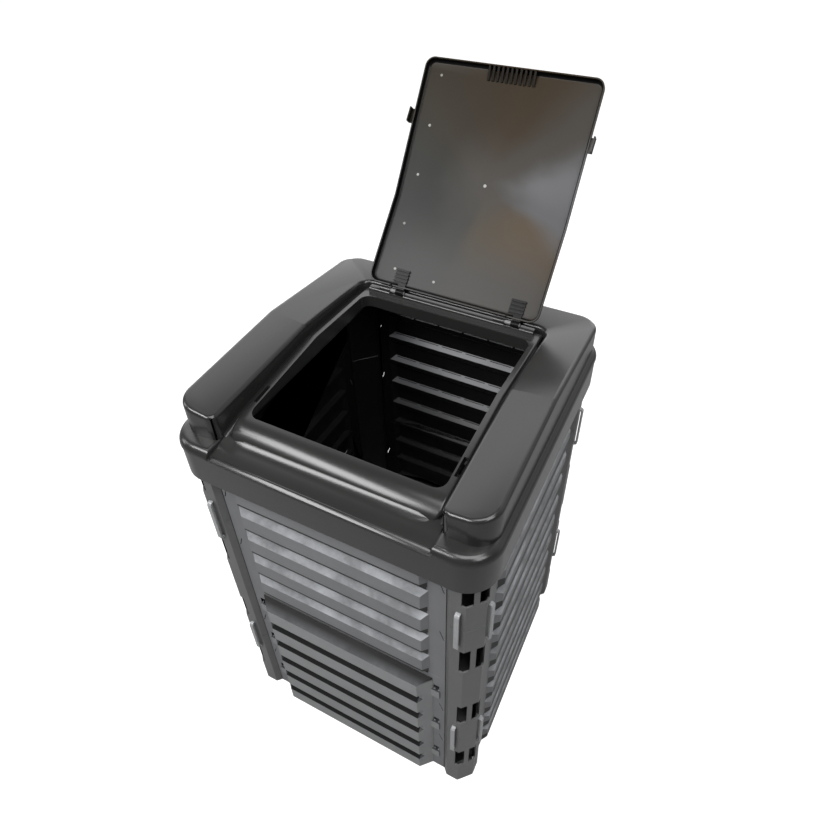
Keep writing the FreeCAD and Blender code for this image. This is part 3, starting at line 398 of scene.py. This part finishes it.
# Marks of the mould on the lid's inner face: the nib where the gate broke off, and a column of round
# marks from the pins that pushed the sheet out of the mould. They are rubbed paler than the sheet.
def mark_tree():
    """A column of flat round marks along a step, laid on the lid's slope."""
    tree = bpy.data.node_groups.new("ejector_marks", "GeometryNodeTree")
    tree.interface.new_socket("Geometry", in_out="OUTPUT", socket_type="NodeSocketGeometry")
    for name, kind in (("Count", "Int"), ("Start", "Vector"), ("Step", "Vector"), ("Tilt", "Rotation"),
                       ("Radius", "Float"), ("Height", "Float"), ("Finish", "Material")):
        tree.interface.new_socket(name, in_out="INPUT", socket_type="NodeSocket" + kind)
    given = add(tree, "NodeGroupInput").outputs
    row = add(tree, "GeometryNodeMeshLine",
              {"Count": given["Count"], "Start Location": given["Start"], "Offset": given["Step"]},
              mode="OFFSET")
    disc = add(tree, "GeometryNodeMeshCylinder",
               {"Radius": given["Radius"], "Depth": given["Height"], "Vertices": 20})
    placed = add(tree, "GeometryNodeInstanceOnPoints",
                 {"Points": row.outputs[0], "Instance": disc.outputs[0], "Rotation": given["Tilt"]})
    real = add(tree, "GeometryNodeRealizeInstances", {"Geometry": placed.outputs[0]})
    done = add(tree, "GeometryNodeSetMaterial", {"Geometry": real.outputs[0], "Material": given["Finish"]})
    add(tree, "NodeGroupOutput", {"Geometry": done.outputs[0]})
    return tree


def on_lid(across, out, below):
    """A point on the open lid: across it, out from the hinge, and this far under the hinge's plane."""
    return Vector((across, HINGE_Y, HINGE_Z)) + lid_out * out + lid_inner * below


def row_of_marks(name, count, start, step, slope, radius):
    """Marks in a row on the open lid, lying on the sheet where it has this slope."""
    points = bpy.data.objects.new(name, bpy.data.meshes.new(name))
    bpy.context.scene.collection.objects.link(points)
    maker = points.modifiers.new("marks", "NODES")
    maker.node_group = marks
    sizes = {"Count": count, "Start": start, "Step": step, "Tilt": (slope - OPEN_ANGLE, 0, 0),
             "Radius": radius, "Height": MARK_HEIGHT, "Finish": witness_mark}
    for item in marks.interface.items_tree:
        if item.in_out == "INPUT":
            maker[item.identifier] = sizes[item.name]
    shaped = bpy.data.meshes.new_from_object(points.evaluated_get(bpy.context.evaluated_depsgraph_get()))
    points.modifiers.remove(maker)
    points.data = shaped
    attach(points, "lid")


witness_mark = plastic("witness_mark_polypropylene", "#5c5c58", "#76766f", spot_mm=3, roughness=0.3,
                       spread=0.05, grain_mm=0.6, grain_depth_mm=0.02)
marks = mark_tree()
MARK_RADIUS = 0.0028
NIB_RADIUS = 0.0034
MARK_HEIGHT = 0.0008
MARK_COLUMN = -0.152
OUTER_SLOPE = math.atan(0.114)            # the sheet against the hinge's plane, in its outer part
INNER_SLOPE = math.atan(-0.044)           # and near the hinge
NO_STEP = Vector((0, 0, 0))
outer_mark = on_lid(MARK_COLUMN, 0.4552, 0.0206)
outer_step = on_lid(0, 0.3530, 0.0090) - on_lid(0, 0.4552, 0.0206)
inner_mark = on_lid(MARK_COLUMN, 0.1448, -0.0061)
inner_step = on_lid(0.011, 0.0463, -0.0017) - on_lid(0, 0.1448, -0.0061)
hinge_mark = on_lid(-0.0476, 0.0397, -0.0014)
nib = on_lid(0.0006, GATE_OUT, -0.0023)
row_of_marks("ejector_marks_outer", 3, outer_mark, outer_step, OUTER_SLOPE, MARK_RADIUS)
row_of_marks("ejector_marks_inner", 2, inner_mark, inner_step, INNER_SLOPE, MARK_RADIUS)
row_of_marks("ejector_mark_hinge", 1, hinge_mark, NO_STEP, INNER_SLOPE, MARK_RADIUS)
row_of_marks("gate_nib", 1, nib, NO_STEP, OUTER_SLOPE, NIB_RADIUS)


# Hinge clips and pins: small nylon mouldings. Each clip's ribbed plate is pushed under the lid's edge,
# and its eye turns on a round pin that sits in the bar at the back of the cover. The clips are dull
# black, and the pins are plain grey.
CLIP_EDGE = 0.0003
PIN_EDGE = 0.0004
black_nylon = plastic("black_nylon", "#0c0c0c", "#131313", spot_mm=8, roughness=0.3, spread=0.03,
                      grain_mm=0.8, grain_depth_mm=0.01, specular=0.1)
pin_nylon = plastic("pin_nylon", "#6f6f70", "#7a7a7b", spot_mm=6, roughness=0.45, spread=0.03,
                    grain_mm=0.8, grain_depth_mm=0.01)
for side in ("left", "right"):
    clip = moulded("lid_hinge_clip_" + side, CLIP_EDGE)
    finish_as(clip, black_nylon)
    pin = moulded("hinge_pin_" + side, PIN_EDGE)
    finish_as(pin, pin_nylon)


# Panels: dark grey recycled polypropylene, pressed out into hoods that keep rain off the air slits.
# Outside they are mottled from the regrind, with painted light on the shoulders of the hoods.
# Undersides, the feet of the hoods, the joints with the posts and the insides are painted near black
# as shade, and the inner ledges that the light from the mouth reaches carry painted light.
PANEL_EDGE_RADIUS = 0.0007
# Painted shade, near black, in this order: inside the bin and the posts' hollows, on undersides, and in
# crevices and joints.
INSIDE_SHADE = "#0c0c0c"
UNDERSIDE_SHADE = "#151515"
CREVICE_SHADE = "#121212"
HOOD_TOP = 0.068              # lowest hood's top line, and the pitch of the hoods above it
HOOD_PITCH = 0.428 / 6
HOOD_GAP = 0.0250             # from one hood's foot to the next one's top, painted dark as shade
HOOD_HALF = 0.19              # half of a hood's length
SIDE_HOOD_SHADE = 0.013            # painted shade that reaches further up at the feet of the side hoods
JOINT_SHADE = 0.2252           # where the painted shade in the joint with the post begins
SHEET_PLANE = 0.280           # sheet's face from the bin's middle
HOOD_PLANE = SHEET_PLANE + 0.0015         # what stands further out is part of a hood
BACK_LEDGES = (0.155, 0.165)  # along Y, where the ledges that the light from the mouth reaches begin
LEDGES_LIT = (0.45, 0.75)     # heights between which these ledges catch more and more of it
TOP_SPOTS = (0.35, 0.65)     # of the noise that mottles the plastic
LOOKS_UP = (0.2, 0.6)         # of the upward part of a face's normal, and so is the next
LOOKS_DOWN = (-0.6, -0.2)
LOOKS_OUT = (-0.06, -0.02)    # of the product of a face's place from the bin's middle and its normal


def painted_light_plastic(name, top, face, lit_ledge, specular, grooves=None, top_slope=None):
    """Mottled plastic with painted light and shade. Faces that look up take the top colours: painted
    light on the panels, painted shade on the door. Undersides and faces that look into the bin are
    painted dark as shade. A door has grooves, with their plane, half length, top and painted shade,
    and a top slope: two heights and its painted shade."""
    material = plastic(name, face[0], face[1], spot_mm=60, roughness=0.42, spread=0.08, grain_mm=1.2,
                       grain_depth_mm=0.04, specular=specular)
    tree = material.node_tree
    surface = [n for n in tree.nodes if n.type == "BSDF_PRINCIPLED"][0]
    shade = [n for n in tree.nodes if n.type == "MIX"][0]
    spots = [n for n in tree.nodes if n.type == "TEX_NOISE"][0]
    place = [n for n in tree.nodes if n.type == "TEX_COORD"][0]
    way = add(tree, "ShaderNodeSeparateXYZ", {"Vector": place.outputs["Normal"]})

    def between(value, limits, first, second):
        """Blends two colours, each a source or a hex code, as the value goes from limit to limit."""
        factor = add(tree, "ShaderNodeMapRange",
                     {"Value": value, "From Min": limits[0], "From Max": limits[1]})
        first, second = [linear(c) if isinstance(c, str) else c for c in (first, second)]
        blend = add(tree, "ShaderNodeMix", {"Factor": factor.outputs[0], 6: first, 7: second},
                    data_type="RGBA")
        return blend.outputs[2]

    # Painted light on faces that look up, in two mottled tones (on the door, painted shade); painted shade on
    # undersides.
    painted_top = between(spots.outputs[0], TOP_SPOTS, top[0], top[1])
    outer = between(way.outputs["Z"], LOOKS_UP, shade.outputs[2], painted_top)
    outer = between(way.outputs["Z"], LOOKS_DOWN, UNDERSIDE_SHADE, outer)
    point = add(tree, "ShaderNodeSeparateXYZ", {"Vector": place.outputs["Object"]})
    out = add(tree, "ShaderNodeVectorMath", {0: place.outputs["Object"], 1: (0, BIN_MIDDLE_Y, 0)},
              operation="SUBTRACT")
    reach = add(tree, "ShaderNodeVectorMath", {0: out.outputs[0]}, operation="ABSOLUTE")
    sides = add(tree, "ShaderNodeSeparateXYZ", {"Vector": reach.outputs[0]})
    depth = add(tree, "ShaderNodeMath", {0: sides.outputs["X"], 1: sides.outputs["Y"]}, operation="MAXIMUM")
    across = add(tree, "ShaderNodeMath", {0: sides.outputs["X"], 1: sides.outputs["Y"]}, operation="MINIMUM")

    # On the door, painted shade in the grooves and on the top slope under the hood above.
    if grooves:
        groove_plane, groove_half, groove_top, groove_shade = grooves
        groove = 1.0
        for value, limit in ((depth.outputs[0], groove_plane), (across.outputs[0], groove_half),
                             (point.outputs["Z"], groove_top)):
            under_limit = add(tree, "ShaderNodeMath", {0: value, 1: limit}, operation="LESS_THAN")
            groove = add(tree, "ShaderNodeMath", {0: groove, 1: under_limit.outputs[0]},
                         operation="MULTIPLY").outputs[0]
        outer = between(groove, (0, 1), outer, groove_shade)
        outer = between(point.outputs["Z"], top_slope[:2], outer, top_slope[2])
    else:
        # Painted shade: a dark band at the foot of each hood, deeper on the side panels, and in the joints
        # with the posts.
        rise = add(tree, "ShaderNodeMath", {0: point.outputs["Z"], 1: HOOD_TOP}, operation="SUBTRACT")
        above_hood = add(tree, "ShaderNodeMath", {0: rise.outputs[0], 1: HOOD_PITCH},
                         operation="FLOORED_MODULO")
        on_side = add(tree, "ShaderNodeMath", {0: sides.outputs["X"], 1: sides.outputs["Y"]},
                      operation="GREATER_THAN")
        shade_top = add(tree, "ShaderNodeMath", {0: on_side.outputs[0], 1: SIDE_HOOD_SHADE, 2: HOOD_GAP},
                        operation="MULTIPLY_ADD")
        gap = add(tree, "ShaderNodeMath", {0: above_hood.outputs[0], 1: shade_top.outputs[0]},
                  operation="LESS_THAN")
        proud = add(tree, "ShaderNodeMath", {0: depth.outputs[0], 1: HOOD_PLANE}, operation="GREATER_THAN")
        along_hood = add(tree, "ShaderNodeMath", {0: across.outputs[0], 1: HOOD_HALF}, operation="LESS_THAN")
        between_ends = add(tree, "ShaderNodeMath", {0: proud.outputs[0], 1: along_hood.outputs[0]},
                           operation="MAXIMUM")
        at_hood = add(tree, "ShaderNodeMath", {0: gap.outputs[0], 1: between_ends.outputs[0]},
                      operation="MULTIPLY")
        at_joint = add(tree, "ShaderNodeMath", {0: across.outputs[0], 1: JOINT_SHADE},
                       operation="GREATER_THAN")
        painted_shade = add(tree, "ShaderNodeMath", {0: at_hood.outputs[0], 1: at_joint.outputs[0]},
                    operation="MAXIMUM")
        outer = between(painted_shade.outputs[0], (0, 1), outer, CREVICE_SHADE)
    flat = add(tree, "ShaderNodeVectorMath", {0: out.outputs[0], 1: (1, 1, 0)}, operation="MULTIPLY")
    faces_out = add(tree, "ShaderNodeVectorMath", {0: flat.outputs[0], 1: place.outputs["Normal"]},
                    operation="DOT_PRODUCT")
    # Painted light on the inner ledges that the light from the mouth reaches, more of it higher up; painted
    # shade on the rest of the inside.
    ledge = between(point.outputs["Z"], LEDGES_LIT, INSIDE_SHADE, lit_ledge)
    ledge = between(point.outputs["Y"], BACK_LEDGES, INSIDE_SHADE, ledge)
    inner = between(way.outputs["Z"], LOOKS_UP, INSIDE_SHADE, ledge)
    skin = between(faces_out.outputs["Value"], LOOKS_OUT, inner, outer)
    tree.links.new(skin, surface.inputs["Base Color"])
    return material


# The top colours are painted light on the hoods' shoulders, and the last is painted light on the lit inner
# ledges.
mottled_regrind = painted_light_plastic("mottled_regrind_polypropylene", ("#6e7072", "#989a9d"),
                                    ("#646567", "#7b7c7e"), "#8a8b8e", specular=0.35)
panel_names = [side + tier for side in ("right", "back", "left") for tier in ("_upper_panel", "_lower_panel")]
for name in ["front_upper_panel", "front_door_frame"] + panel_names:
    panel = moulded(name, PANEL_EDGE_RADIUS)
    finish_as(panel, mottled_regrind)


# Door: the same plastic, with six slats stepped out over grooves painted dark as shade, worn dull by
# hands and soil. Its top slope is painted dark as shade too. It hangs by three headed ears on each side
# in the keyholes of the frame, and lifts up and off.
DOOR_FACE = 0.3035            # door's face from the bin's middle
GROOVE_PLANE = DOOR_FACE - 0.0004         # what lies further in is part of a groove
SLAT_HALF = 0.176
GROOVES_TOP = 0.37
DOOR_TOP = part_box("door")[1][2]
TOP_SHADE_START = 0.0115           # the painted shade on the door's top slope begins this far under its top
TOP_SHADE_FULL = 0.004             # and is at its darkest from here up
# Painted shade: in the grooves, and darkest along the top of the door's top slope.
GROOVE_SHADE = "#1b1b1c"
TOP_SLOPE_SHADE = "#070707"
door = moulded("door", PANEL_EDGE_RADIUS)
# The door's faces that look up are painted dark as shade, in two mottled tones.
door_plastic = painted_light_plastic("door_regrind_polypropylene", ("#303133", "#505153"),
                                 ("#7c7d7e", "#969798"), INSIDE_SHADE, specular=0.12,
                                 grooves=(GROOVE_PLANE, SLAT_HALF, GROOVES_TOP, GROOVE_SHADE),
                                 top_slope=(DOOR_TOP - TOP_SHADE_START, DOOR_TOP - TOP_SHADE_FULL, TOP_SLOPE_SHADE))
finish_as(door, door_plastic)


# Posts: extruded-looking corner mouldings in three lengths, with rows of square pockets, joined at
# the seams by spring clips that bend back into the pockets at both ends. The posts are satin dark grey
# outside, and their hollows are painted black as shade. The clips are a paler nylon with a harder shine.
POST_EDGE = 0.0007
SPRING_CLIP_EDGE = 0.0006
POST_MIDDLE = 0.2585          # middle of a post's hollow, along X and along Y from the bin's middle
post_plastic = plastic("post_polypropylene", "#4e4e4f", "#606061", spot_mm=30, roughness=0.36,
                       spread=0.05, grain_mm=1.2, grain_depth_mm=0.03)
tree = post_plastic.node_tree
surface = [n for n in tree.nodes if n.type == "BSDF_PRINCIPLED"][0]
shade = [n for n in tree.nodes if n.type == "MIX"][0]
place = [n for n in tree.nodes if n.type == "TEX_COORD"][0]
from_middle = add(tree, "ShaderNodeVectorMath", {0: place.outputs["Object"], 1: (0, BIN_MIDDLE_Y, 0)},
                  operation="SUBTRACT")
corner_sign = add(tree, "ShaderNodeVectorMath", {0: from_middle.outputs[0]}, operation="SIGN")
axis = add(tree, "ShaderNodeVectorMath", {0: corner_sign.outputs[0], 1: (POST_MIDDLE, POST_MIDDLE, 0)},
           operation="MULTIPLY")
off_axis = add(tree, "ShaderNodeVectorMath", {0: from_middle.outputs[0], 1: axis.outputs[0]},
               operation="SUBTRACT")
level_only = add(tree, "ShaderNodeVectorMath", {0: off_axis.outputs[0], 1: (1, 1, 0)}, operation="MULTIPLY")
faces_out = add(tree, "ShaderNodeVectorMath", {0: level_only.outputs[0], 1: place.outputs["Normal"]},
                operation="DOT_PRODUCT")
is_outside = add(tree, "ShaderNodeMath", {0: faces_out.outputs["Value"], 1: -0.001},
                 operation="GREATER_THAN")
towards_bin = add(tree, "ShaderNodeVectorMath", {0: from_middle.outputs[0], 1: place.outputs["Normal"]},
                  operation="DOT_PRODUCT")
is_open_side = add(tree, "ShaderNodeMath", {0: towards_bin.outputs["Value"], 1: -0.05},
                   operation="GREATER_THAN")
# Faces that look into a post's hollow or towards the bin are painted black as shade.
outer_face = add(tree, "ShaderNodeMath", {0: is_outside.outputs[0], 1: is_open_side.outputs[0]},
                operation="MULTIPLY")
unlit = add(tree, "ShaderNodeMix",
            {"Factor": outer_face.outputs[0], 6: linear(INSIDE_SHADE), 7: shade.outputs[2]}, data_type="RGBA")
tree.links.new(unlit.outputs[2], surface.inputs["Base Color"])
clip_nylon = plastic("spring_clip_nylon", "#8b8c8e", "#9c9d9e", spot_mm=12, roughness=0.24, spread=0.04,
                     grain_mm=1.0, grain_depth_mm=0.02)
for corner in ("front_right", "back_right", "back_left", "front_left"):
    for level in ("_foot", "_middle", "_top"):
        post = moulded("post_" + corner + level, POST_EDGE)
        finish_as(post, post_plastic)
    clips = moulded("post_clips_" + corner, SPRING_CLIP_EDGE)
    finish_as(clips, clip_nylon)
